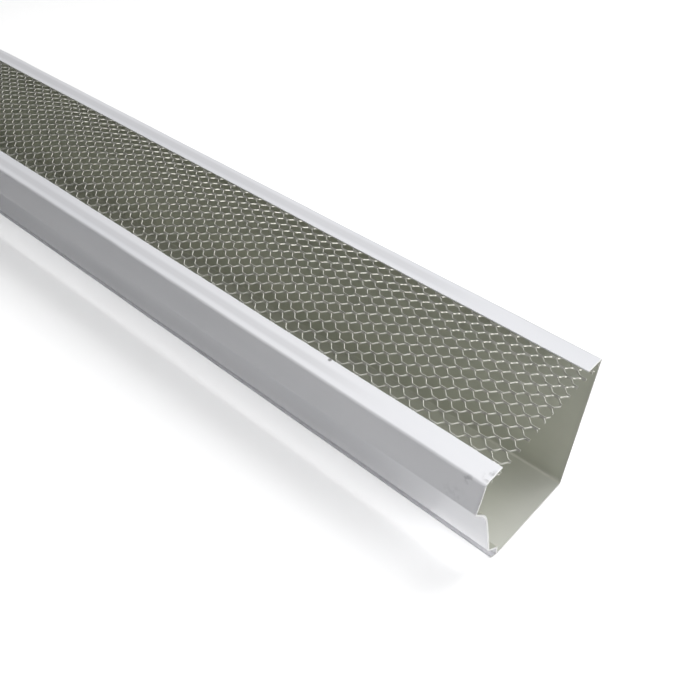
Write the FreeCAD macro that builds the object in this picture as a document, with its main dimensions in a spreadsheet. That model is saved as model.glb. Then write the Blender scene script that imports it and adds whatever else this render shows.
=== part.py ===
"""Length of roll-formed gutter with an expanded-metal leaf guard tucked under its lip and back flange."""
import FreeCAD, Part
import math
import os

import Sketcher

V = FreeCAD.Vector
doc = FreeCAD.newDocument("gutter_guard")

# Driving sizes in millimetres: X runs along the gutter, setbacks are measured back from the front
SIZES = (
    ("stock_length", 914.4),
    ("depth_overall", 112.0),
    ("back_height", 102.0),
    ("sheet_gauge", 0.8),
    ("bend_radius", 1.2),
    ("cove_radius", 12.0),
    ("flange_reach", 15.0),
    ("lip_setback", 3.8),
    ("lip_height", 90.4),
    ("lip_reach", 14.6),
    ("lip_rise", 1.2),
    ("face_foot_height", 71.6),
    ("cove_setback", 12.9),
    ("cove_height", 60.0),
    ("apron_foot_setback", 27.8),
    ("apron_foot_height", 16.1),
    ("riser_top_setback", 38.3),
    ("riser_top_height", 8.4),
    ("riser_foot_setback", 39.5),
    ("hem_reach", 3.2),
    ("hem_fold_radius", 0.6),
    ("cell_pitch", 12.7),
    ("row_count", 25),
    ("row_lag", 0.5),
    ("bond_inset", 10.13),
    ("floor_half_length", 2.3),
    ("roof_half_length", 1.5),
    ("strand_width", 0.8),
    ("strand_gauge", 0.4),
    ("strand_lean", 45.0),
    ("bond_overlap", 0.1),
    ("mesh_crown", 2.0),
    ("mesh_edge_margin", 3.6),
    ("mesh_seat_clearance", 0.09),
    ("panel_count", 6),
)
# Points closer together than this, in millimetres, count as one
SAME_SPOT = 0.01
# Turn of a strand where it leaves a bond, in degrees, which only trims the corners of its outline
CORNER_TURN = 54.0

sheet = doc.addObject("Spreadsheet::Sheet", "sizes")
for row, (name, value) in enumerate(SIZES, start=1):
    sheet.set("A%d" % row, name)
    sheet.set("B%d" % row, str(value))
    sheet.setAlias("B%d" % row, name)
doc.recompute()


def size(name):
    """Value of one driving size."""
    return float(sheet.get(name))


# Outer face of the section as (point, setback, height), from the back flange's edge round to the front lip's
HEM_TIP = "sizes.riser_foot_setback - sizes.hem_reach"
HEM_TOP = "2 * sizes.sheet_gauge"
OUTER_FACE = (
    ("flange_edge", "sizes.depth_overall - sizes.flange_reach", "sizes.back_height"),
    ("back_top", "sizes.depth_overall", "sizes.back_height"),
    ("back_foot", "sizes.depth_overall", None),
    ("hem_tip_foot", HEM_TIP, None),
    ("hem_tip_top", HEM_TIP, HEM_TOP),
    ("riser_foot", "sizes.riser_foot_setback", HEM_TOP),
    ("riser_top", "sizes.riser_top_setback", "sizes.riser_top_height"),
    ("apron_foot", "sizes.apron_foot_setback", "sizes.apron_foot_height"),
    ("cove", "sizes.cove_setback", "sizes.cove_height"),
    ("face_foot", None, "sizes.face_foot_height"),
    ("lip_corner", "sizes.lip_setback", "sizes.lip_height"),
    ("lip_edge", "sizes.lip_setback + sizes.lip_reach", "sizes.lip_height + sizes.lip_rise"),
)
# Walls of the sheet, each named by the outer point it starts from, in the order the inner face follows them
INNER_WALLS = (
    "lip_corner", "face_foot", "cove", "apron_foot", "riser_top",
    "riser_foot", "back_foot", "back_top", "flange_edge",
)
ORIGIN, START, END = -1, 1, 2
SETBACK_AXIS, HEIGHT_AXIS = -1, -2


def worked_out(expression):
    """Number that an expression on the sheet comes to, or nothing for a point that lies on an axis."""
    if expression is None:
        return 0.0
    return float(sheet.evalExpression(expression))


OUTER = {point: V(worked_out(setback), worked_out(height)) for point, setback, height in OUTER_FACE}
NAMES = [point for point, _, _ in OUTER_FACE]
FOLLOWING = dict(zip(NAMES, NAMES[1:]))


def inner_line(wall):
    """A point on a wall's inner face and the wall's direction, with the trough to the right of the walk."""
    run = (OUTER[FOLLOWING[wall]] - OUTER[wall]).normalize()
    return OUTER[wall] + V(run.y, -run.x) * size("sheet_gauge"), run


def crossing(wall, next_wall):
    """Where the inner faces of two walls meet."""
    start, run = inner_line(wall)
    next_start, next_run = inner_line(next_wall)
    gap = next_start - start
    turn = run.x * next_run.y - run.y * next_run.x
    return start + run * ((gap.x * next_run.y - gap.y * next_run.x) / turn)


def hold(sketch, kind, *places, expression):
    """Distance in the sketch held to an expression on the sheet."""
    index = sketch.addConstraint(Sketcher.Constraint(kind, *places, worked_out(expression)))
    sketch.setExpression("Constraints[%d]" % index, expression)


def draw_section(sketch):
    """Closed section of the gutter's sheet, outer face and then inner one; gives the inner corners."""
    lip_start, lip_run = inner_line("lip_corner")
    lip_length = (OUTER["lip_edge"] - OUTER["lip_corner"]).Length
    lip_under = lip_start + lip_run * lip_length
    flange_under, _ = inner_line("flange_edge")
    corners = {wall: crossing(wall, next_wall) for wall, next_wall in zip(INNER_WALLS, INNER_WALLS[1:])}
    path = [OUTER[name] for name in NAMES] + [lip_under] + list(corners.values()) + [flange_under]
    lines = []
    for first, second in zip(path, path[1:] + path[:1]):
        lines.append(sketch.addGeometry(Part.LineSegment(first, second), False))
    for line, following in zip(lines, lines[1:] + lines[:1]):
        sketch.addConstraint(Sketcher.Constraint("Coincident", line, END, following, START))

    for line, (_, setback, height) in zip(lines, OUTER_FACE):
        if setback is None:
            sketch.addConstraint(Sketcher.Constraint("PointOnObject", line, START, HEIGHT_AXIS))
        else:
            hold(sketch, "DistanceX", ORIGIN, START, line, START, expression=setback)
        if height is None:
            sketch.addConstraint(Sketcher.Constraint("PointOnObject", line, START, SETBACK_AXIS))
        else:
            hold(sketch, "DistanceY", ORIGIN, START, line, START, expression=height)

    outer_line = dict(zip(NAMES, lines))
    lip_tip = outer_line["lip_edge"]
    flange_tip = lines[-1]
    sketch.addConstraint(Sketcher.Constraint("Perpendicular", lip_tip, outer_line["lip_corner"]))
    sketch.addConstraint(Sketcher.Constraint("Perpendicular", flange_tip, outer_line["flange_edge"]))
    for line, wall in zip(lines[len(NAMES):-1], INNER_WALLS):
        hold(sketch, "Distance", line, START, outer_line[wall], expression="sizes.sheet_gauge")
        hold(sketch, "Distance", line, END, outer_line[wall], expression="sizes.sheet_gauge")
    return corners


def long_edges(shape, spots):
    """Names of the shape's lengthwise edges that run through the given section points."""
    found = []
    for index, edge in enumerate(shape.Edges, start=1):
        end = edge.Vertexes[0].Point
        across = abs(edge.Vertexes[-1].Point.x - end.x)
        if across < size("stock_length") / 2.0:
            continue
        if any(abs(end.y - spot.x) < SAME_SPOT and abs(end.z - spot.y) < SAME_SPOT for spot in spots):
            found.append("Edge%d" % index)
    return found


def round_bends(body, name, spots, radius):
    """Fillet of one radius along the bends at the given section points."""
    base = body.Tip
    fillet = body.newObject("PartDesign::Fillet", name)
    fillet.Base = (base, long_edges(base.Shape, spots))
    fillet.setExpression("Radius", radius)
    doc.recompute()


def gutter_trough():
    """Roll-formed trough: one sheet bent into lip, face, cove, apron, riser, hem, bottom, back and flange."""
    body = doc.addObject("PartDesign::Body", "gutter_trough")
    body.Label = "gutter_trough"
    sketch = body.newObject("Sketcher::SketchObject", "trough_section")
    end_plane = [feature for feature in body.Origin.OriginFeatures if feature.Role == "YZ_Plane"]
    sketch.AttachmentSupport = [(end_plane[0], "")]
    sketch.MapMode = "FlatFace"
    inner = draw_section(sketch)
    doc.recompute()

    pad = body.newObject("PartDesign::Pad", "trough_run")
    pad.Profile = sketch
    pad.Midplane = True
    pad.setExpression("Length", "sizes.stock_length")
    doc.recompute()

    # The inside of a bend has the tool's radius, and its outside that radius and the gauge
    outward = ("back_top", "back_foot", "apron_foot", "face_foot", "lip_corner")
    riser = [inner["riser_foot"], OUTER["riser_foot"], OUTER["riser_top"]]
    inside = [inner[bend] for bend in outward] + riser
    outside = [OUTER[bend] for bend in outward] + [inner["riser_top"]]
    hem_tip = [OUTER["hem_tip_foot"], OUTER["hem_tip_top"]]
    round_bends(body, "bend_insides", inside, "sizes.bend_radius")
    round_bends(body, "bend_outsides", outside, "sizes.bend_radius + sizes.sheet_gauge")
    round_bends(body, "cove_inside", [OUTER["cove"]], "sizes.cove_radius")
    round_bends(body, "cove_outside", [inner["cove"]], "sizes.cove_radius + sizes.sheet_gauge")
    round_bends(body, "hem_fold", hem_tip, "sizes.hem_fold_radius")
    body.setExpression("Placement.Base.y", "-sizes.depth_overall / 2")
    doc.recompute()
    return body


class MeshSheet:
    """Expanded-metal sheet in the gutter's own frame: staggered hexagonal cells in rows along the gutter."""

    def __init__(self):
        self.pitch = size("cell_pitch")
        self.lag = size("row_lag")
        self.rows = round(size("row_count"))
        self.first_bond = size("stock_length") / 2.0 - size("bond_inset")
        margin = size("mesh_edge_margin")
        self.front = crossing("lip_corner", "face_foot").x + margin
        self.back = crossing("back_top", "flange_edge").x - margin
        self.step = (self.back - self.front) / self.rows
        self.setbacks = [self.front + self.step * row for row in range(self.rows + 1)]
        tilt = math.radians(size("strand_lean"))
        self.lean = V(0.0, math.sin(tilt), math.cos(tilt))
        self.reach = self.step - self.lean.y * size("strand_width")
        self.heights = [top - self.lean.z * size("strand_width") for top in self.top_heights()]

    def top_heights(self):
        """Height of the sheet's top at each row: flat under lip and flange, and crowned in between."""
        clearance = size("mesh_seat_clearance")
        lip_start, lip_run = inner_line("lip_corner")
        flange_start, _ = inner_line("flange_edge")
        lip_seat = [row for row, setback in enumerate(self.setbacks) if setback < OUTER["lip_edge"].x]
        flange_seat = [row for row, setback in enumerate(self.setbacks) if setback > OUTER["flange_edge"].x]
        first = lip_seat[-1] + 1
        last = flange_seat[0] - 1

        def under_lip(setback):
            return lip_start.y + (setback - lip_start.x) * lip_run.y / lip_run.x - clearance

        start = under_lip(self.setbacks[first])
        end = flange_start.y - clearance
        heights = []
        for row, setback in enumerate(self.setbacks):
            if row <= first:
                heights.append(under_lip(setback))
            elif row >= last:
                heights.append(end)
            else:
                share = (row - first) / (last - first)
                crown = size("mesh_crown") * (1.0 - (2.0 * share - 1.0) ** 2)
                heights.append(start + (end - start) * share + crown)
        return heights

    def bond_place(self, row):
        """Place along the gutter of one bond of a row: rows are staggered and each lags a little more."""
        return self.first_bond + self.pitch / 2.0 * (row % 2) - self.lag * row

    def level(self, along, row, floor, roof):
        """Share of the way from a row of bonds to the next that a strand's edge has gone."""
        facing = self.pitch / 2.0 - self.lag
        phase = (along - self.bond_place(row)) % self.pitch
        rising = (phase - floor) / (facing - roof - floor)
        falling = (self.pitch - floor - phase) / (self.pitch - floor - facing - roof)
        return min(max(min(rising, falling), 0.0), 1.0)

    def foot_slope(self, row):
        """Slope of a strand's foot from its own row of bonds to the next."""
        return (self.heights[row + 1] - self.lean.z * size("strand_width") - self.heights[row]) / self.reach

    def edge(self, start, end, row, side):
        """Zigzag edge of a strand's foot, on its front (-1) or back (+1) side, as (along, across) points."""
        half_gauge = side * size("strand_gauge") / 2.0 / (self.lean.z - self.foot_slope(row) * self.lean.y)
        ease = half_gauge * math.tan(math.radians(CORNER_TURN / 2.0))
        floor = size("floor_half_length") - ease
        roof = size("roof_half_length") + ease
        facing = self.pitch / 2.0 - self.lag
        bond = self.bond_place(row)
        first = math.floor((start - bond) / self.pitch)
        last = math.ceil((end - bond) / self.pitch)
        places = []
        for index in range(first, last + 1):
            middle = bond + index * self.pitch
            places += [middle - floor, middle + floor, middle + facing - roof, middle + facing + roof]
        inside = sorted(place for place in places if start + SAME_SPOT < place < end - SAME_SPOT)
        points = []
        for along in [start] + inside + [end]:
            points.append((along, self.level(along, row, floor, roof) * self.reach + half_gauge))
        return points

    def strip(self, start, end, row):
        """Zigzag strand between two rows of bonds, leaning back, as one solid."""
        near = self.setbacks[row]
        foot = self.heights[row]
        slope = self.foot_slope(row)
        outline = self.edge(start, end, row, -1) + self.edge(start, end, row, 1)[::-1]
        points = [V(along, near + across, foot + across * slope) for along, across in outline]
        face = Part.Face(Part.makePolygon(points + points[:1]))
        face.translate(self.lean * -size("bond_overlap"))
        return face.extrude(self.lean * (size("strand_width") + size("bond_overlap")))

    def panel(self, start, end):
        """One stretch of the sheet: its strands fused along the rows of bonds."""
        strips = [self.strip(start, end, row) for row in range(self.rows)]
        return strips[0].multiFuse(strips[1:]).removeSplitter()


def mesh_guards():
    """The leaf guard, split into equal panels that meet face to face."""
    mesh = MeshSheet()
    count = round(size("panel_count"))
    panel_length = size("stock_length") / count
    panels = []
    for index in range(count):
        start = index * panel_length - size("stock_length") / 2.0
        panel = doc.addObject("Part::Feature", "mesh_guard_%d" % (index + 1))
        panel.Label = "mesh_guard_%d" % (index + 1)
        panel.Shape = mesh.panel(start, start + panel_length)
        panel.Placement.Base = V(0.0, -size("depth_overall") / 2.0, 0.0)
        panels.append(panel)
    return panels


pieces = [gutter_trough()] + mesh_guards()
doc.recompute()
for item in doc.Objects:
    if "Invalid" in item.State or "Error" in item.State:
        raise RuntimeError("%s failed to build" % item.Label)
for piece in pieces:
    if piece.Shape.isNull() or not piece.Shape.isValid() or len(piece.Shape.Solids) != 1:
        raise RuntimeError("%s is not one valid solid" % piece.Label)

os.makedirs("parts", exist_ok=True)
for piece in pieces:
    piece.Shape.exportStep("parts/%s.step" % piece.Label)
    box = piece.Shape.BoundBox
    print("%s: %.1f x %.1f x %.1f mm" % (piece.Label, box.XLength, box.YLength, box.ZLength))
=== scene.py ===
import math

import bmesh
import bpy
import numpy as np
from mathutils import Color, Matrix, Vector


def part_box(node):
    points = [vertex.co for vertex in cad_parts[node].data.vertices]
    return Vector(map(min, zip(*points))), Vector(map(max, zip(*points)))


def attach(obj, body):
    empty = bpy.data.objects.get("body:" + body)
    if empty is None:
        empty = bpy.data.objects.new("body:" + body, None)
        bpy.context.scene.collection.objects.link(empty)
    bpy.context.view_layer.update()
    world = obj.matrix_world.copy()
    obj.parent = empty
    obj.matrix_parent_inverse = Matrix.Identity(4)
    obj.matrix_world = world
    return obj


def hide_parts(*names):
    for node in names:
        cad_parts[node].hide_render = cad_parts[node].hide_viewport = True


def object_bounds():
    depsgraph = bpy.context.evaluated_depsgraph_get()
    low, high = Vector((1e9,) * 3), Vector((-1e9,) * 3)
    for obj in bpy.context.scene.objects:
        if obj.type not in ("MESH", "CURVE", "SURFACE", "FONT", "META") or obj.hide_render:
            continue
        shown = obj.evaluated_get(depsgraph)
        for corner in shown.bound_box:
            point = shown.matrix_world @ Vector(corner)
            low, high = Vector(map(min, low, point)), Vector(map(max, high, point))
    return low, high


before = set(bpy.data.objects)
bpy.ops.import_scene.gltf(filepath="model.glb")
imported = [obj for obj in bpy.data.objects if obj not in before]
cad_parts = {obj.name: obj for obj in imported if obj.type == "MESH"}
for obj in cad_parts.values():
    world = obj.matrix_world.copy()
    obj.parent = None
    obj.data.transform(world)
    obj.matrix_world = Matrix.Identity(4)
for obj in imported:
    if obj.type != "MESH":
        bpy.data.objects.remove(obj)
cad_low, cad_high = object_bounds()

# A length of white painted gutter with an expanded-metal guard sheet tucked under its lip and flange.
# Lengths are in metres, in the part's own frame: X runs along the gutter, the near end is at +X,
# the front lip faces -Y and the bottom stands on the floor.
MM = 0.001
MICRON_DIGITS = 6
FULL_TURN = 2.0 * math.pi
SEED = 41
random_draws = np.random.default_rng(SEED)

# The camera, as solved from the straight edges of the photograph.
IMAGE_SIZE = 700
FOCAL_PIXELS = 841.28
CENTRE_PIXEL = (298.14, 347.96)
CAMERA_PLACE = (0.5666, -0.30075, 0.3941)
CAMERA_AZIMUTH = math.radians(42.95)
CAMERA_ELEVATION = math.radians(40.73)
CAMERA_ROLL = math.radians(1.297)
SENSOR_WIDTH = 36.0
CLIP_START = 10.0 * MM

# The gutter's sheet, as it is divided along its length and round its section.
STATION_STEP = 6.0 * MM
END_STATIONS = (0.0, 0.4 * MM, 1.0 * MM, 2.0 * MM, 3.5 * MM)
SECTION_STEP = 5.0 * MM
END_FLATNESS = 0.01 * MM
SHARP_ANGLE = math.radians(40.0)

# What faces the trough's centre is the inside, apart from the hem and the sheet's edges at lip and flange.
OUTSIDE, INSIDE, CUT = range(3)
TROUGH_CENTRE = (10.0 * MM, 55.0 * MM)
HEM_LIMIT = (-15.0 * MM, 2.2 * MM)
TIP_LENGTH = 1.2 * MM
TIP_HEIGHT = 85.0 * MM
TIP_FACING = 0.8

# The soft bend at the cove's foot, and the sheet's slight waves, as lengths along and across.
COVE_FOOT = (-43.1 * MM, 60.0 * MM)
EASE_STEP = 0.7 * MM
EASE_REACH = 10.0 * MM
EASE_PASSES = 110
WAVE_HEIGHT = 0.06 * MM
WAVE_LENGTHS = ((310.0 * MM, 90.0 * MM), (170.0 * MM, 50.0 * MM), (83.0 * MM, 130.0 * MM))

# The near end was cut slightly out of square, and its hem and lip were bruised there.
END_SKEW = 0.0165
END_REACH = 100.0 * MM
HEM_CORNER = (-16.5 * MM, 2.5 * MM)
HEM_ROUND = 3.2 * MM
HEM_PULL = 1.5 * MM
TEAR_PITCH = 4.3 * MM
TEAR_REACH = 3.5 * MM
TEAR_DEPTH = 0.7 * MM

# The burr round both cut ends, up to the height of the lip.
BURR_LENGTH = 0.5 * MM
BURR_HEIGHT = 0.2 * MM
BURR_TOP = 88.0 * MM

# The guard's expanded sheet: ribbons that zigzag between rows of bonds.
PANEL_COUNT = 6
CELL_PITCH = 12.7 * MM
BOND_ROWS = 26
ROW_LAG = 0.5 * MM
BOND_INSET = 10.13 * MM
FOOT_HALF = 2.3 * MM
ROOF_HALF = 1.5 * MM
CORNER_ROUND = 0.7 * MM
CORNER_STEPS = (-1.0, -1.0 / 3.0, 1.0 / 3.0, 1.0)
CORNER_SAMPLES = 9
SHORTEST_STEP = 0.05 * MM
FRONT_MARGIN = 0.335 * MM
BACK_MARGIN = 0.243 * MM
BOND_TOP = (0.25 * MM, 0.9 * MM)

# One ribbon's section and lean, and the two sides of it that are the sheet's rolled faces.
RIBBON_WIDTH = 0.8 * MM
RIBBON_THICK = 0.4 * MM
RIBBON_CHAMFER = 0.06 * MM
RIBBON_LEAN = math.radians(-45.0)
ROLLED_SIDES = (1, 5)
ROLLED, SLIT = range(2)

# The guard's bow and unevenness between lip and flange, with its waves as lengths along and across.
FREE_SPAN = (-36.0 * MM, 40.0 * MM)
FREE_BORDER = 12.0 * MM
BOW_HEIGHT = 1.8 * MM
BOW_REACH = 250.0 * MM
LIFT_REACH = 0.35 * MM
LIFT_WAVES = ((230.0 * MM, math.inf), (110.0 * MM, 70.0 * MM))
SWAY_REACH = 0.3 * MM
SWAY_WAVES = ((52.0 * MM, 31.0 * MM), (19.0 * MM, -23.0 * MM))
buckle_phases = random_draws.uniform(0.0, FULL_TURN, len(LIFT_WAVES) + len(SWAY_WAVES))

# Colours as 8-bit screen values. A pair is the darker and the lighter tone of one finish.
SCREEN_WHITE = 255.0
PAINT_TONES = ((228, 229, 233), (240, 240, 243))
REFLECTION_STREAK_COLOUR = (208, 208, 211)
BEND_SHADE_COLOUR = (96, 97, 98)
COAT_TONES = ((186, 188, 176), (200, 201, 188))
OPEN_END_LIGHT_TONES = ((206, 207, 199), (218, 219, 211))
CREASE_COLOUR = (222, 221, 210)
CUT_TONES = ((234, 234, 232), (252, 252, 252))
MILL_TONES = ((196, 195, 186), (222, 221, 213))
SLIT_TONES = ((226, 225, 216), (244, 243, 236))
FLOOR_TONES = ((246, 246, 246), (251, 251, 251))

# The part of a noise's range in which its tones change, and the share of a spot that has its full strength.
TONE_SPAN = (0.3, 0.7)
SPOT_CORE = 0.3

# Painted reflection: grey streaks on top of lip and flange, where the glossy paint mirrors a darker band;
# they fade out towards the near end.
STREAK_HEIGHT = (88.0 * MM, 89.0 * MM)
STREAK_FADE = (330.0 * MM, 400.0 * MM)
STREAK_STRENGTH = 0.6
LIP_STREAK = (-46.5 * MM, -44.5 * MM)
LIP_SOFT = 3.0 * MM
FLANGE_STREAK = (46.5 * MM, 49.5 * MM)
FLANGE_SOFT = 3.5 * MM

# Painted shade: the dark line along the back bend, which is stronger towards the near end.
BEND_ACROSS = (54.3 * MM, 55.0 * MM)
BEND_HEIGHT = (98.5 * MM, 100.0 * MM)
BEND_ALONG = (280.0 * MM, 450.0 * MM)
BEND_STRENGTH = (0.1, 0.7)

# Marks of handling on the paint, each with its centre, radius, strength and colour.
SCUFFS = ((456.5 * MM, -46.0 * MM, 91.0 * MM), 6.0 * MM, 0.6, (138, 138, 140))
SMUDGE = ((447.5 * MM, -52.6 * MM, 88.3 * MM), 4.0 * MM, 0.45, (160, 161, 166))
RUB = ((442.8 * MM, -55.2 * MM, 75.5 * MM), 9.0 * MM, 0.12, (150, 151, 156))
NICK = ((346.2 * MM, -38.5 * MM, 91.5 * MM), 1.6 * MM, 0.8, (74, 74, 70))
SPECK_SPAN = (0.42, 0.62)

# Inside the near end, painted light on the bottom, paler where light comes in by the open end, and the pale
# crease along the back bend.
OPEN_END_LIGHT_ALONG = (422.0 * MM, 458.0 * MM)
OPEN_END_LIGHT_HEIGHT = (1.2 * MM, 5.0 * MM)
CREASE_ALONG = (395.0 * MM, 420.0 * MM)
CREASE_ACROSS = (53.6 * MM, 54.4 * MM)
CREASE_HEIGHT = (1.4 * MM, 2.2 * MM)
CREASE_STRENGTH = 0.7

# The studio's round floor, which sweeps up to a wall far behind the part, as (radius, height) points.
FLOOR_SIDES = 64
FLOOR_RIM = (6.0, 0.0)
WALL_PROFILE = ((6.8, 0.15), (7.4, 0.6), (7.8, 1.4), (8.0, 2.6), (8.0, 9.0))

# How far the two floors lie under the part, and how the upper one's glow grows outwards.
FLOOR_DROP = 0.5 * MM
TABLE_DROP = 0.1 * MM
GLOW_NEAR = 0.42
GLOW_FAR = 0.75
GLOW_REACH = 2.0

# The height of the strip light by the foot, and the faint light from all round.
STRIP_HEIGHT = 5.0 * MM
WORLD_COLOUR = (0.95, 0.97, 1.0, 1.0)
WORLD_STRENGTH = 0.03


def linear(red, green, blue):
    """A shader colour from 8-bit screen values."""
    screen = Color((red / SCREEN_WHITE, green / SCREEN_WHITE, blue / SCREEN_WHITE))
    return (*screen.from_srgb_to_scene_linear(), 1.0)


class Shader:
    """A small helper that adds nodes to one material and links them."""

    def __init__(self, name):
        self.material = bpy.data.materials.new(name)
        self.material.use_nodes = True
        self.tree = self.material.node_tree
        self.surface = self.tree.nodes["Principled BSDF"]
        self.place = self.tree.nodes.new("ShaderNodeTexCoord").outputs["Object"]
        parts = self.tree.nodes.new("ShaderNodeSeparateXYZ")
        self.put(parts.inputs["Vector"], self.place)
        self.axes = tuple(parts.outputs)

    def put(self, socket, value):
        """Links another node's output to a socket, or sets a plain value on it."""
        if isinstance(value, bpy.types.NodeSocket):
            self.tree.links.new(value, socket)
        else:
            socket.default_value = value

    def stretched(self, along):
        """The place with its X scaled, which draws a noise out along the gutter."""
        node = self.tree.nodes.new("ShaderNodeMapping")
        self.put(node.inputs["Vector"], self.place)
        self.put(node.inputs["Scale"], (along, 1.0, 1.0))
        return node.outputs["Vector"]

    def noise(self, scale, detail=2.0, vector=None):
        node = self.tree.nodes.new("ShaderNodeTexNoise")
        self.put(node.inputs["Vector"], self.place if vector is None else vector)
        self.put(node.inputs["Scale"], scale)
        self.put(node.inputs["Detail"], detail)
        return node.outputs["Fac"]

    def tones(self, factor, dark, light):
        """A colour that goes from dark to light with a noise."""
        node = self.tree.nodes.new("ShaderNodeValToRGB")
        self.put(node.inputs["Fac"], factor)
        for point, position, tone in zip(node.color_ramp.elements, TONE_SPAN, (dark, light)):
            point.position = position
            point.color = linear(*tone)
        return node.outputs["Color"]

    def span(self, value, low, high, to_low=0.0, to_high=1.0):
        """A value that passes smoothly from one level to another between low and high."""
        node = self.tree.nodes.new("ShaderNodeMapRange")
        node.interpolation_type = "SMOOTHSTEP"
        self.put(node.inputs["Value"], value)
        self.put(node.inputs["From Min"], low)
        self.put(node.inputs["From Max"], high)
        self.put(node.inputs["To Min"], to_low)
        self.put(node.inputs["To Max"], to_high)
        return node.outputs["Result"]

    def sheen(self, factor, smooth, rough):
        """A roughness that varies with a noise."""
        return self.span(factor, *TONE_SPAN, smooth, rough)

    def mix(self, factor, first, second):
        node = self.tree.nodes.new("ShaderNodeMix")
        node.data_type = "RGBA"
        self.put(node.inputs["Factor"], factor)
        self.put(node.inputs["A"], first)
        self.put(node.inputs["B"], second)
        return node.outputs["Result"]

    def combined(self, operation, *values):
        """Several values put together in turn by one operation."""
        result = values[0]
        for value in values[1:]:
            node = self.tree.nodes.new("ShaderNodeMath")
            node.operation = operation
            self.put(node.inputs[0], result)
            self.put(node.inputs[1], value)
            result = node.outputs["Value"]
        return result

    def band(self, value, low, high, soft):
        """A mask that is full between low and high, with soft borders outside."""
        rising = self.span(value, low - soft, low)
        falling = self.span(value, high, high + soft, 1.0, 0.0)
        return self.combined("MULTIPLY", rising, falling)

    def spot(self, centre, radius, strength):
        """A round mask with a soft border."""
        node = self.tree.nodes.new("ShaderNodeVectorMath")
        node.operation = "DISTANCE"
        self.put(node.inputs[0], self.place)
        self.put(node.inputs[1], centre)
        return self.span(node.outputs["Value"], SPOT_CORE * radius, radius, strength, 0.0)

    def grain(self, scale, depth, strength):
        """A fine relief on the whole surface."""
        node = self.tree.nodes.new("ShaderNodeBump")
        self.put(node.inputs["Height"], self.noise(scale))
        self.put(node.inputs["Distance"], depth)
        self.put(node.inputs["Strength"], strength)
        self.put(self.surface.inputs["Normal"], node.outputs["Normal"])

    def finish(self, colour, roughness, metallic):
        self.put(self.surface.inputs["Base Color"], colour)
        self.put(self.surface.inputs["Roughness"], roughness)
        self.put(self.surface.inputs["Metallic"], metallic)
        return self.material


def white_enamel():
    """Baked white paint with soft streaks along the roll direction, a painted reflection on lip and flange
    and a painted shade line along the back bend.
    """
    shader = Shader("white_enamel")
    streaks = shader.noise(scale=26.0, detail=3.0, vector=shader.stretched(along=0.12))
    colour = shader.tones(streaks, *PAINT_TONES)
    # Painted reflection: darker streaks on lip and flange.
    colour = painted_reflection_streaks(shader, colour)
    # Painted shade: a dark line along the back bend.
    colour = painted_bend_shade(shader, colour)
    colour = handling_marks(shader, colour)
    shader.grain(scale=700.0, depth=0.05 * MM, strength=0.25)
    return shader.finish(colour, shader.sheen(streaks, smooth=0.36, rough=0.48), metallic=0.0)


def painted_reflection_streaks(shader, colour):
    """Painted reflection: grey streaks along lip and flange, where the glossy paint mirrors a darker band.
    """
    along, across, height = shader.axes
    on_top = shader.span(height, *STREAK_HEIGHT)
    fading = shader.span(along, *STREAK_FADE, STREAK_STRENGTH, 0.0)
    lip = shader.band(across, *LIP_STREAK, LIP_SOFT)
    flange = shader.band(across, *FLANGE_STREAK, FLANGE_SOFT)
    reflection_band = shader.combined("MULTIPLY", shader.combined("ADD", lip, flange), on_top, fading)
    return shader.mix(reflection_band, colour, linear(*REFLECTION_STREAK_COLOUR))


def painted_bend_shade(shader, colour):
    """Painted shade: a dark line along the back bend, where its rounded edge falls into shade."""
    along, across, height = shader.axes
    behind = shader.span(across, *BEND_ACROSS)
    on_top = shader.span(height, *BEND_HEIGHT)
    strength = shader.span(along, *BEND_ALONG, *BEND_STRENGTH)
    bend_shade_mask = shader.combined("MULTIPLY", behind, on_top, strength)
    return shader.mix(bend_shade_mask, colour, linear(*BEND_SHADE_COLOUR))


def handling_marks(shader, colour):
    """Scuffs at the lip's cut end, a smudge and a rub on the face and a nick in the lip's edge."""
    specks = shader.span(shader.noise(scale=330.0, detail=3.0), *SPECK_SPAN)
    for centre, radius, strength, tone in (SCUFFS, SMUDGE, RUB):
        mark = shader.combined("MULTIPLY", shader.spot(centre, radius, strength), specks)
        colour = shader.mix(mark, colour, linear(*tone))
    centre, radius, strength, tone = NICK
    return shader.mix(shader.spot(centre, radius, strength), colour, linear(*tone))


def wash_coat():
    """The thin khaki-grey coat on the trough's inside, with painted light that makes the bottom paler at the
    near end.
    """
    shader = Shader("wash_coat")
    along, across, height = shader.axes
    clouds = shader.noise(scale=18.0, detail=4.0, vector=shader.stretched(along=0.3))
    colour = shader.tones(clouds, *COAT_TONES)
    # Painted light: the bottom is paler near the open end, where more light comes in.
    bottom = shader.span(height, *OPEN_END_LIGHT_HEIGHT, 1.0, 0.0)
    open_end_light_mask = shader.combined("MULTIPLY", bottom, shader.span(along, *OPEN_END_LIGHT_ALONG))
    colour = shader.mix(open_end_light_mask, colour, shader.tones(clouds, *OPEN_END_LIGHT_TONES))
    low = shader.span(height, *CREASE_HEIGHT, 1.0, 0.0)
    uncovered = shader.span(along, *CREASE_ALONG, 0.0, CREASE_STRENGTH)
    crease = shader.combined("MULTIPLY", shader.span(across, *CREASE_ACROSS), low, uncovered)
    colour = shader.mix(crease, colour, linear(*CREASE_COLOUR))
    shader.grain(scale=900.0, depth=0.05 * MM, strength=0.25)
    return shader.finish(colour, shader.sheen(clouds, smooth=0.42, rough=0.52), metallic=0.0)


def cut_edge():
    """Bare metal where the sheet was cut to length."""
    shader = Shader("cut_edge")
    colour = shader.tones(shader.noise(scale=1500.0), *CUT_TONES)
    return shader.finish(colour, roughness=0.4, metallic=0.1)


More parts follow.
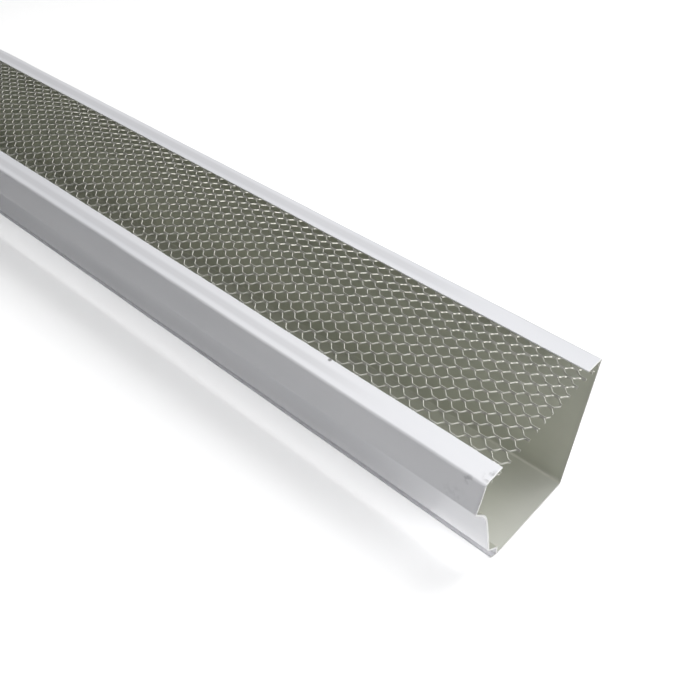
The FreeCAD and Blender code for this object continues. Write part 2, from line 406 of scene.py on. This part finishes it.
def mill_face():
    """The rolled faces of the expanded sheet: silver that mirrors the studio softly."""
    shader = Shader("mill_face")
    patches = shader.noise(scale=240.0, detail=3.0)
    colour = shader.tones(patches, *MILL_TONES)
    shader.grain(scale=2600.0, depth=0.03 * MM, strength=0.3)
    return shader.finish(colour, shader.sheen(patches, smooth=0.3, rough=0.42), metallic=0.7)


def slit_edge():
    """The torn, paler edges where the sheet was slit."""
    shader = Shader("slit_edge")
    colour = shader.tones(shader.noise(scale=900.0, detail=3.0), *SLIT_TONES)
    return shader.finish(colour, roughness=0.45, metallic=0.1)


def unit(vectors):
    """Vectors scaled to a length of one."""
    return vectors / np.linalg.norm(vectors, axis=-1, keepdims=True)


def outward(runs):
    """Unit normals of the runs of an outline that goes round anticlockwise."""
    return unit(np.stack((runs[:, 1], -runs[:, 0]), axis=1))


def made(name, points, faces, kinds, finishes):
    """A mesh piece that rides on the part's one body, with a finish for each kind of face."""
    mesh = bpy.data.meshes.new(name)
    mesh.from_pydata([tuple(point) for point in points], [], faces)
    for finish in finishes:
        mesh.materials.append(finish)
    mesh.polygons.foreach_set("material_index", kinds)
    soften(mesh)
    piece = bpy.data.objects.new(name, mesh)
    bpy.context.scene.collection.objects.link(piece)
    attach(piece, "root")
    return piece


def soften(mesh):
    """Smooth shading that breaks at real edges."""
    work = bmesh.new()
    work.from_mesh(mesh)
    for face in work.faces:
        face.smooth = True
    for edge in work.edges:
        edge.smooth = edge.calc_face_angle(0.0) < SHARP_ANGLE
    work.to_mesh(mesh)
    work.free()


def section_loop(node):
    """The node's section as ordered (y, z) points, read from the rim of its near end face."""
    mesh = node.data
    end = max(vertex.co.x for vertex in mesh.vertices)
    uses = {}
    for polygon in mesh.polygons:
        corners = [mesh.vertices[index].co for index in polygon.vertices]
        if min(corner.x for corner in corners) < end - END_FLATNESS:
            continue
        spots = [(round(corner.y, MICRON_DIGITS), round(corner.z, MICRON_DIGITS)) for corner in corners]
        for first, second in zip(spots, spots[1:] + spots[:1]):
            key = frozenset((first, second))
            uses[key] = uses.get(key, 0) + 1
    neighbours = {}
    for key, count in uses.items():
        if count == 1:
            first, second = sorted(key)
            neighbours.setdefault(first, []).append(second)
            neighbours.setdefault(second, []).append(first)
    loop = [min(neighbours)]
    previous = None
    while True:
        here = loop[-1]
        onward = [spot for spot in sorted(neighbours[here]) if spot != previous]
        previous = here
        if onward[0] == loop[0] or (len(loop) > 2 and loop[0] in onward):
            break
        loop.append(onward[0])
    points = np.array(loop)
    following = np.roll(points, -1, axis=0)
    area = np.sum(points[:, 0] * following[:, 1] - following[:, 0] * points[:, 1]) / 2.0
    return points if area > 0.0 else points[::-1]


def divided(points, step, centre=(0.0, 0.0), reach=math.inf):
    """A closed outline with its long straights cut into steps, all round or only near one place."""
    fine = []
    for first, second in zip(points, np.roll(points, -1, axis=0)):
        near = np.linalg.norm((first + second) / 2.0 - centre) < reach
        cuts = max(1, int(np.linalg.norm(second - first) / step)) if near else 1
        for index in range(cuts):
            fine.append(first + (second - first) * index / cuts)
    return np.array(fine)


def eased(points):
    """The outline with the bend at the cove's foot drawn out to a soft curve."""
    fine = divided(points, EASE_STEP, COVE_FOOT, EASE_REACH)
    gaps = np.linalg.norm(fine - np.array(COVE_FOOT), axis=1)
    shares = np.clip(1.0 - gaps / EASE_REACH, 0.0, 1.0)[:, None]
    for _ in range(EASE_PASSES):
        middles = (np.roll(fine, 1, axis=0) + np.roll(fine, -1, axis=0)) / 2.0
        fine = fine + shares * (middles - fine) / 2.0
    return fine


def stations(low, high):
    """Places along the gutter, closer together at its two ends."""
    count = int((high - low) / STATION_STEP)
    places = set(np.linspace(low, high, count).round(MICRON_DIGITS))
    for gap in END_STATIONS:
        places.add(round(low + gap, MICRON_DIGITS))
        places.add(round(high - gap, MICRON_DIGITS))
    return np.array(sorted(places))


def sheet_waves(points):
    """Slight rolling waves of thin sheet metal, as shifts in Y and Z."""
    shift = np.zeros_like(points)
    for axis, other in ((1, 2), (2, 1)):
        for length, width in WAVE_LENGTHS:
            phase = random_draws.uniform(0.0, FULL_TURN, 2)
            along = np.sin(FULL_TURN * points[..., 0] / length + phase[0])
            sideways = np.sin(FULL_TURN * points[..., other] / width + phase[1])
            shift[..., axis] += WAVE_HEIGHT * along * sideways
    return shift


def end_burr(grid, outline):
    """The burr that shearing raised round both cut ends, as shifts away from the sheet."""
    normals = outward(np.roll(outline, -1, axis=0) - np.roll(outline, 1, axis=0))
    gap = np.minimum(grid[..., 0] - cad_low.x, cad_high.x - grid[..., 0])
    share = np.clip(1.0 - gap / BURR_LENGTH, 0.0, 1.0) * (grid[..., 2] < BURR_TOP)
    shift = np.zeros_like(grid)
    shift[..., 1:] = BURR_HEIGHT * share[..., None] * normals[None, :, :]
    return shift


def end_shift(points):
    """How far the near end was cut out of square, bruised at the hem and torn at the lip."""
    along, across, height = points[..., 0], points[..., 1], points[..., 2]
    inset = along - cad_high.x
    square = -END_SKEW * (across - cad_low.y) * np.clip(1.0 + inset / END_REACH, 0.0, 1.0)
    bruise = np.clip((HEM_CORNER[0] - across) / HEM_ROUND, 0.0, 1.0) ** 2 * (height < HEM_CORNER[1])
    teeth = np.abs(np.sin(math.pi * across / TEAR_PITCH)) * (height > TIP_HEIGHT) * (across < 0.0)
    near = np.clip(1.0 + inset / TEAR_REACH, 0.0, 1.0)
    return square - near * (HEM_PULL * bruise + TEAR_DEPTH * teeth)


def gutter_grid(outline):
    """The outline's points at every station, with the waves, burr and bruises of real stock."""
    places = stations(cad_low.x, cad_high.x)
    grid = np.zeros((len(places), len(outline), 3))
    grid[..., 0] = places[:, None]
    grid[..., 1:] = outline[None, :, :]
    grid += sheet_waves(grid)
    grid += end_burr(grid, outline)
    grid[..., 1] = np.clip(grid[..., 1], cad_low.y, cad_high.y)
    grid[..., 2] = np.clip(grid[..., 2], cad_low.z, cad_high.z)
    grid[..., 0] += end_shift(grid)
    return grid


def section_kinds(outline):
    """Which runs of the outline are the gutter's inside and which its outside."""
    following = np.roll(outline, -1, axis=0)
    middles = (outline + following) / 2.0
    runs = following - outline
    normals = outward(runs)
    inside = np.sum(normals * (np.array(TROUGH_CENTRE) - middles), axis=1) > 0.0
    hem = (middles[:, 0] < HEM_LIMIT[0]) & (middles[:, 1] < HEM_LIMIT[1])
    short = np.linalg.norm(runs, axis=1) < TIP_LENGTH
    tip = short & (np.abs(normals[:, 0]) > TIP_FACING) & (middles[:, 1] > TIP_HEIGHT)
    return np.where(inside & ~(hem | tip), INSIDE, OUTSIDE).tolist()


def gutter_piece():
    """The trough's bent sheet, swept along the CAD section and closed at its two cut ends."""
    outline = eased(divided(section_loop(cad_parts["gutter_trough"]), SECTION_STEP))
    grid = gutter_grid(outline)
    round_section = section_kinds(outline)
    count = len(outline)
    bays = len(grid) - 1
    faces = []
    kinds = []
    for bay in range(bays):
        first = bay * count
        second = first + count
        for index in range(count):
            onward = (index + 1) % count
            faces.append((first + index, second + index, second + onward, first + onward))
        kinds += [CUT] * count if bay in (0, bays - 1) else round_section
    last = bays * count
    faces.append(tuple(range(count))[::-1])
    faces.append(tuple(range(last, last + count)))
    kinds += [CUT, CUT]
    finishes = (white_enamel(), wash_coat(), cut_edge())
    piece = made("gutter_sheet", grid.reshape(-1, 3), faces, kinds, finishes)
    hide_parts("gutter_trough")


def guard_rows():
    """Place across the gutter and top height of each bond row, read from a CAD panel."""
    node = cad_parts["mesh_guard_1"]
    low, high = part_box("mesh_guard_1")
    points = np.array([vertex.co for vertex in node.data.vertices])
    rows = np.linspace(low.y + FRONT_MARGIN, high.y - BACK_MARGIN, BOND_ROWS)
    tops = []
    for row in rows[:-1]:
        behind = points[:, 1] - row
        near = (behind > BOND_TOP[0]) & (behind < BOND_TOP[1])
        tops.append(points[near, 2].max())
    return rows, np.array(tops + tops[-1:])


def width_direction(lean):
    """The ribbon's width direction for a lean towards the front, one vector per angle."""
    return np.stack((np.zeros_like(lean), -np.sin(lean), np.cos(lean)), axis=-1)


def ribbon_path(start, end, bond):
    """X places along one ribbon and how far it has gone from its own bond row to the next, 0 to 1."""
    facing = CELL_PITCH / 2.0 - ROW_LAG
    leaving, arriving = FOOT_HALF, facing - ROOF_HALF
    returning, landing = facing + ROOF_HALF, CELL_PITCH - FOOT_HALF
    phases = [0.0, facing]
    for turn in (leaving, arriving, returning, landing):
        phases += [turn + CORNER_ROUND * step for step in CORNER_STEPS]
    places = {start, end}
    first = int(math.floor((start - bond) / CELL_PITCH))
    last = int(math.ceil((end - bond) / CELL_PITCH))
    for cell in range(first, last):
        for phase in phases:
            spot = bond + cell * CELL_PITCH + phase
            if start + SHORTEST_STEP < spot < end - SHORTEST_STEP:
                places.add(spot)
    places = np.array(sorted(places))
    crossed = np.zeros(len(places))
    for sample in np.linspace(-CORNER_ROUND, CORNER_ROUND, CORNER_SAMPLES):
        phase = (places + sample - bond) % CELL_PITCH
        rising = (phase - leaving) / (arriving - leaving)
        falling = (landing - phase) / (landing - returning)
        crossed += np.clip(np.minimum(rising, falling), 0.0, 1.0)
    return places, crossed / CORNER_SAMPLES


def ribbon_section():
    """The ribbon's section: a thin strip with its sheared corners eased, as (across, through) offsets."""
    wide = RIBBON_WIDTH / 2.0
    thick = RIBBON_THICK / 2.0
    ease = RIBBON_CHAMFER
    return (
        (-wide, -thick + ease), (-wide + ease, -thick), (wide - ease, -thick), (wide, -thick + ease),
        (wide, thick - ease), (wide - ease, thick), (-wide + ease, thick), (-wide, thick - ease),
    )


def ribbon_rings(centres, slopes):
    """The ribbon's section set round each point of its path."""
    wide = width_direction(RIBBON_LEAN + slopes)
    through = unit(np.cross(np.gradient(centres, axis=0), wide))
    lines = [centres + wide * offset + through * deep for offset, deep in ribbon_section()]
    return np.stack(lines, axis=1)


def ribbon_faces(first, rings, sides):
    """The faces along one ribbon and across its two ends, with the kind of each."""
    faces = []
    kinds = []
    for ring in range(rings - 1):
        base = first + ring * sides
        for side in range(sides):
            onward = (side + 1) % sides
            faces.append((base + side, base + onward, base + sides + onward, base + sides + side))
            kinds.append(ROLLED if side in ROLLED_SIDES else SLIT)
    final = first + (rings - 1) * sides
    faces.append(tuple(range(first, first + sides))[::-1])
    faces.append(tuple(range(final, final + sides)))
    kinds += [SLIT, SLIT]
    return faces, kinds


def ripples(along, across, waves, phases):
    """The mean of a few sine waves that run over the guard."""
    total = np.zeros_like(along)
    for (length, width), phase in zip(waves, phases):
        total += np.sin(FULL_TURN * (along / length + across / width) + phase)
    return total / len(waves)


def sheet_buckle(points):
    """The bow and unevenness of a hand-fitted guard, as shifts that die out under lip and flange."""
    along, across = points[:, 0], points[:, 1]
    front, back = FREE_SPAN
    ends = np.clip(np.minimum(cad_high.x - along, along - cad_low.x) / BOW_REACH, 0.0, 1.0)
    share = np.clip((across - front) / (back - front), 0.0, 1.0)
    bow = BOW_HEIGHT * np.sin(ends * math.pi / 2.0) * 4.0 * share * (1.0 - share)
    free = np.clip(np.minimum(across - front, back - across) / FREE_BORDER, 0.0, 1.0)
    lift = ripples(along, across, LIFT_WAVES, buckle_phases[:len(LIFT_WAVES)])
    sway = ripples(along, across, SWAY_WAVES, buckle_phases[len(LIFT_WAVES):])
    shift = np.zeros_like(points)
    shift[:, 0] = SWAY_REACH * free * sway
    shift[:, 2] = LIFT_REACH * free * lift + bow
    return shift


def guard_piece(number, rows, heights, finishes):
    """One run of the guard: leaning ribbons that meet edge to edge at the bonds."""
    node = f"mesh_guard_{number}"
    low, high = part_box(node)
    depth = RIBBON_WIDTH * math.cos(RIBBON_LEAN) - RIBBON_THICK / 2.0 * math.sin(RIBBON_LEAN)
    slopes = np.arctan(np.gradient(heights, rows))
    bonds = np.stack((np.zeros(BOND_ROWS), rows, heights - depth), axis=1)
    half_widths = width_direction(RIBBON_LEAN + slopes) * RIBBON_WIDTH / 2.0
    ribbons = []
    faces = []
    kinds = []
    first = 0
    for row in range(BOND_ROWS - 1):
        bond = cad_high.x - BOND_INSET + CELL_PITCH / 2.0 * (row % 2) - ROW_LAG * row
        places, crossed = ribbon_path(low.x, high.x, bond)
        start = bonds[row] + half_widths[row]
        end = bonds[row + 1] - half_widths[row + 1]
        centres = start + (end - start) * crossed[:, None]
        centres[:, 0] = places
        rings = ribbon_rings(centres, slopes[row] + (slopes[row + 1] - slopes[row]) * crossed)
        row_faces, row_kinds = ribbon_faces(first, *rings.shape[:2])
        ribbons.append(rings.reshape(-1, 3))
        faces += row_faces
        kinds += row_kinds
        first += len(ribbons[-1])
    points = np.concatenate(ribbons)
    points += sheet_buckle(points)
    points[:, 0] = np.clip(points[:, 0], cad_low.x, cad_high.x)
    piece = made(f"guard_sheet_{number}", points, faces, kinds, finishes)
    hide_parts(node)


def floor_sheet(name, profile, drop):
    """A round pale floor, turned from (radius, height) points, and its material's shader."""
    shader = Shader(name)
    colour = shader.tones(shader.noise(scale=1.5), *FLOOR_TONES)
    points = [(0.0, 0.0, -drop)]
    for radius, height in profile:
        for turn in np.linspace(0.0, FULL_TURN, FLOOR_SIDES, endpoint=False):
            points.append((radius * math.cos(turn), radius * math.sin(turn), height - drop))
    faces = []
    for index in range(FLOOR_SIDES):
        onward = (index + 1) % FLOOR_SIDES
        faces.append((0, 1 + index, 1 + onward))
        for ring in range(len(profile) - 1):
            inner = 1 + ring * FLOOR_SIDES
            outer = inner + FLOOR_SIDES
            faces.append((inner + index, outer + index, outer + onward, inner + onward))
    mesh = bpy.data.meshes.new(name)
    mesh.from_pydata(points, [], faces)
    mesh.shade_smooth()
    mesh.materials.append(shader.finish(colour, roughness=0.7, metallic=0.0))
    floor = bpy.data.objects.new(name, mesh)
    bpy.context.scene.collection.objects.link(floor)
    return floor, shader


def studio_floor():
    """A floor that only returns light to the part, under a glowing one that only the camera sees."""
    returning, _ = floor_sheet("studio_floor", (FLOOR_RIM,), FLOOR_DROP)
    returning.visible_camera = False
    seen, shader = floor_sheet("light_table", (FLOOR_RIM,) + WALL_PROFILE, TABLE_DROP)
    shaded = shader.spot((0.0, 0.0, 0.0), GLOW_REACH, GLOW_FAR - GLOW_NEAR)
    shader.put(shader.surface.inputs["Emission Color"], (1.0, 1.0, 1.0, 1.0))
    shader.put(shader.surface.inputs["Emission Strength"], shader.combined("SUBTRACT", GLOW_FAR, shaded))
    seen.visible_diffuse = False
    seen.visible_glossy = False
    seen.visible_shadow = False


def set_up(thing, place, side, up, back):
    """Puts a light or camera into the scene, with its axes along three given directions."""
    turn = Matrix((side, up, back)).transposed().to_4x4()
    thing.matrix_world = Matrix.Translation(place) @ turn
    bpy.context.scene.collection.objects.link(thing)


def soft_light(name, place, target, size, power):
    """A square softbox aimed at a point."""
    lamp = bpy.data.lights.new(name, "AREA")
    lamp.size = size
    lamp.energy = power
    light = bpy.data.objects.new(name, lamp)
    back = unit(np.array(place) - np.array(target))
    side = unit(np.cross((0.0, 0.0, 1.0), back))
    set_up(light, place, side, np.cross(back, side), back)
    return light


def studio_lights():
    """Soft light from above and from the open end, two faint ones by the floor and a fill from all round."""
    soft_light("overhead_light", place=(0.25, 0.45, 1.3), target=(0.15, 0.0, 0.0), size=1.2, power=17.0)
    soft_light("end_light", place=(1.1, -0.24, 0.61), target=(0.3, 0.0, 0.08), size=0.65, power=4.0)
    card = soft_light(
        "floor_card", place=(0.455, -0.063, 0.002), target=(0.455, -0.062, 0.1), size=0.08, power=0.012)
    card.visible_camera = False
    strip = soft_light(
        "foot_strip", place=(0.0, -0.040, 0.008), target=(0.0, 0.0, 0.002), size=0.9, power=0.013)
    strip.data.shape = "RECTANGLE"
    strip.data.size_y = STRIP_HEIGHT
    strip.visible_camera = False
    world = bpy.data.worlds.new("studio_world")
    world.use_nodes = True
    background = world.node_tree.nodes["Background"]
    background.inputs["Color"].default_value = WORLD_COLOUR
    background.inputs["Strength"].default_value = WORLD_STRENGTH
    bpy.context.scene.world = world


def photo_camera():
    """The camera at the photograph's viewing angle."""
    azimuth, elevation = CAMERA_AZIMUTH, CAMERA_ELEVATION
    back = np.array((
        math.sin(azimuth) * math.cos(elevation),
        -math.cos(azimuth) * math.cos(elevation),
        math.sin(elevation),
    ))
    level = unit(np.cross(-back, (0.0, 0.0, 1.0)))
    upright = np.cross(level, -back)
    side = math.cos(CAMERA_ROLL) * level + math.sin(CAMERA_ROLL) * upright
    up = -math.sin(CAMERA_ROLL) * level + math.cos(CAMERA_ROLL) * upright
    lens = bpy.data.cameras.new("photo_camera")
    lens.sensor_width = SENSOR_WIDTH
    lens.lens = FOCAL_PIXELS / IMAGE_SIZE * SENSOR_WIDTH
    lens.shift_x = (IMAGE_SIZE / 2.0 - CENTRE_PIXEL[0]) / IMAGE_SIZE
    lens.shift_y = (CENTRE_PIXEL[1] - IMAGE_SIZE / 2.0) / IMAGE_SIZE
    lens.clip_start = CLIP_START
    camera = bpy.data.objects.new("photo_camera", lens)
    set_up(camera, CAMERA_PLACE, side, up, back)
    bpy.context.scene.camera = camera


gutter_piece()
row_places, row_heights = guard_rows()
guard_finishes = (mill_face(), slit_edge())
for panel in range(1, PANEL_COUNT + 1):
    guard_piece(panel, row_places, row_heights, guard_finishes)
studio_floor()
studio_lights()
photo_camera()
bpy.context.scene.view_settings.view_transform = "Standard"
